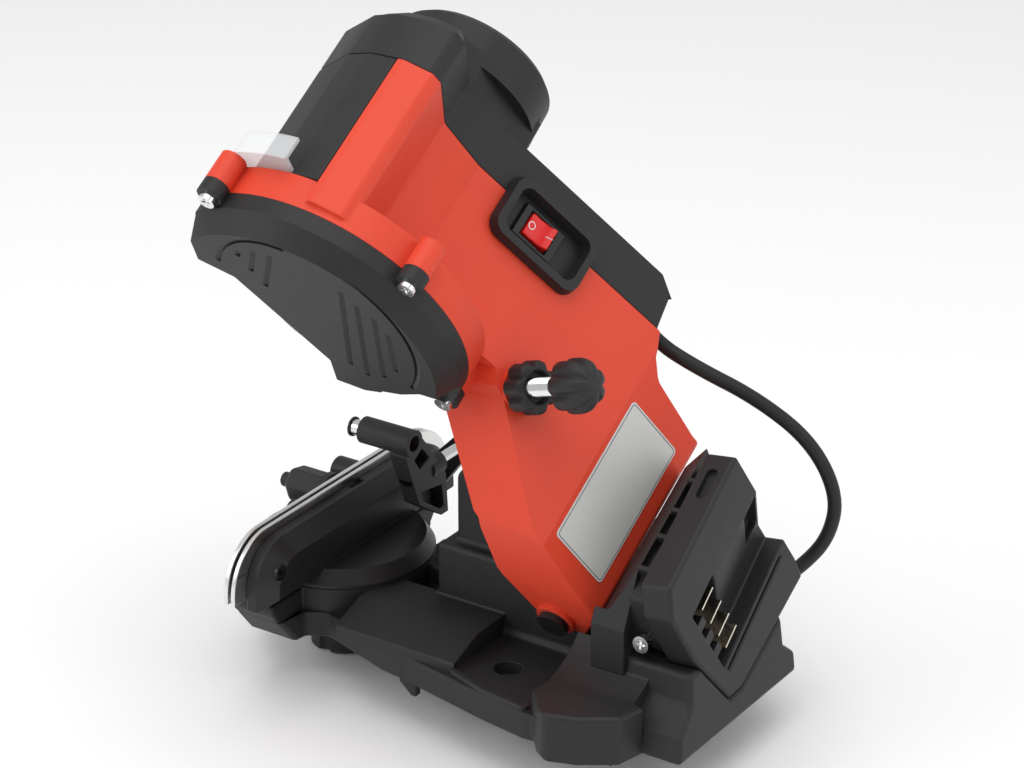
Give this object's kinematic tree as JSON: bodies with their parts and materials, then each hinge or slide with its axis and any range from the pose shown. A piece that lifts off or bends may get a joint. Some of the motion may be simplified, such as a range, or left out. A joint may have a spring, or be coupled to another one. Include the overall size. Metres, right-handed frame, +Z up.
{
  "type": "electric chainsaw sharpener",
  "caption": "Chainsaw-chain sharpener: a grinding head on a tilted, sprung hinge over a swivelling vise with a chain stop, and a battery dock joined to the head by a short cord.",
  "frame": {"origin": "underside of the base, midway between the two bench bolt holes", "axes": "+X is the operator's right, +Y points to the rear, away from the operator, +Z is up"},
  "size_m": [0.1905, 0.2386, 0.298],
  "materials": {
    "housing": "fine texture",
    "black_plastic": "satin texture",
    "switch_plastic": "gloss",
    "rocker_red": "gloss",
    "steel": "bright, brushed along the length",
    "screw_steel": "bright plated",
    "die_cast": "dark coated metal",
    "copper": "bare winding and core",
    "terminal": "plated blades",
    "label": "blank plate",
    "clear": "clear moulding",
    "cord_rubber": "round flexible cord"
  },
  "bodies": {
    "base": {"base": "black_plastic", "hinge_post": "black_plastic", "return_spring": "steel", "dock_housing": "black_plastic", "dock_tray": "black_plastic", "dock_screws": "screw_steel", "terminal_block": "black_plastic", "terminal_blades": "terminal", "swivel_washer": "steel", "cord_relief_dock": "cord_rubber", "cord": "cord_rubber"},
    "head": {"wheel_cover": "black_plastic", "cover_screws": "screw_steel", "red_housing": "housing", "front_cover": "black_plastic", "motor_cover": "black_plastic", "spark_visor": "clear", "motor_can": "steel", "motor_bearings": "steel", "switch_bezel": "black_plastic", "switch_frame": "switch_plastic", "screw_insert": "terminal", "rating_plate": "label", "hinge_pin": "steel", "pin_clip": "steel", "cord_relief_head": "cord_rubber"},
    "rotor": {"armature": "copper", "cooling_fan": "black_plastic", "inner_flange": "steel", "outer_flange": "steel", "arbor_nut": "screw_steel"},
    "rocker": {"rocker": "rocker_red"},
    "depth_screw": {"depth_screw": "screw_steel"},
    "depth_knob": {"depth_knob": "black_plastic"},
    "lock_nut": {"lock_nut": "black_plastic"},
    "vise": {"vise_table": "die_cast", "rear_rail": "steel", "rail_screws": "screw_steel", "guide_pins": "steel", "clamp_screw": "screw_steel", "swivel_bolt": "screw_steel"},
    "swivel_knob": {"swivel_knob": "black_plastic"},
    "front_jaw": {"front_jaw": "die_cast", "front_rail": "steel"},
    "clamp_knob": {"clamp_knob": "black_plastic"},
    "stop_screw": {"stop_rod": "steel", "stop_knob": "black_plastic"},
    "stop_bush": {"stop_bush": "black_plastic"},
    "stop_arm": {"stop_arm": "black_plastic", "stop_pin": "steel", "stop_clip": "black_plastic"}
  },
  "joints": [
    {"name": "head_hinge", "type": "hinge", "parent": "base", "child": "head", "pos_m": [-0.00417, 0.0142, 0.04835], "axis": [-0.848, 0, 0.5299], "range_deg": [-38, 0], "stiffness_Nm_per_rad": 1.5, "springref_deg": 68.75},
    {"name": "spindle", "type": "hinge", "parent": "head", "child": "rotor", "pos_m": [0.0696, -0.0672, 0.1664], "axis": [-0.848, 0, 0.5299], "continuous": true},
    {"name": "switch_rocker", "type": "hinge", "parent": "head", "child": "rocker", "pos_m": [-0.01314, -0.01831, 0.18382], "axis": [-0.848, 0, 0.5299], "range_deg": [0, 14]},
    {"name": "depth_turn", "type": "hinge", "parent": "depth_screw", "child": "depth_knob", "pos_m": [0.0246, -0.00095, 0.13439], "axis": [0.2155, 0.9135, 0.3449], "range_deg": [-1441, 1441]},
    {"name": "depth_slide", "type": "slide", "parent": "head", "child": "depth_screw", "axis": [0.2155, 0.9135, 0.3449], "range_m": [-0.005, 0.005]},
    {"name": "lock_nut_turn", "type": "hinge", "parent": "head", "child": "lock_nut", "pos_m": [0.0246, -0.00095, 0.13439], "axis": [0.2155, 0.9135, 0.3449], "continuous": true},
    {"name": "vise_swivel", "type": "hinge", "parent": "base", "child": "vise", "pos_m": [0, -0.108, 0.0228], "axis": [0, 0, 1], "range_deg": [-35, 35]},
    {"name": "swivel_knob_turn", "type": "hinge", "parent": "base", "child": "swivel_knob", "pos_m": [0, -0.108, -0.0121], "axis": [0, 0, 1], "continuous": true},
    {"name": "jaw_slide", "type": "slide", "parent": "vise", "child": "front_jaw", "axis": [0, 1, 0], "range_m": [-0.003, 0.0008]},
    {"name": "clamp_turn", "type": "hinge", "parent": "front_jaw", "child": "clamp_knob", "pos_m": [-0.006, -0.12, 0.043], "axis": [0, 1, 0], "range_deg": [-865, 231]},
    {"name": "stop_turn", "type": "hinge", "parent": "vise", "child": "stop_screw", "pos_m": [-0.056, -0.082, 0.0567], "axis": [1, 0, 0], "range_deg": [-865, 865]},
    {"name": "stop_slide", "type": "slide", "parent": "vise", "child": "stop_bush", "axis": [1, 0, 0], "range_m": [-0.003, 0.003]},
    {"name": "stop_flip", "type": "hinge", "parent": "stop_bush", "child": "stop_arm", "pos_m": [-0.0295, -0.082, 0.0567], "axis": [1, 0, 0], "range_deg": [0, 28]}
  ],
  "couplings": [
    {"joint": "depth_turn", "follows": "depth_slide", "rad_per_m": 5026.5},
    {"joint": "clamp_turn", "follows": "jaw_slide", "rad_per_m": 5026.5},
    {"joint": "stop_turn", "follows": "stop_slide", "rad_per_m": -5026.5}
  ]
}
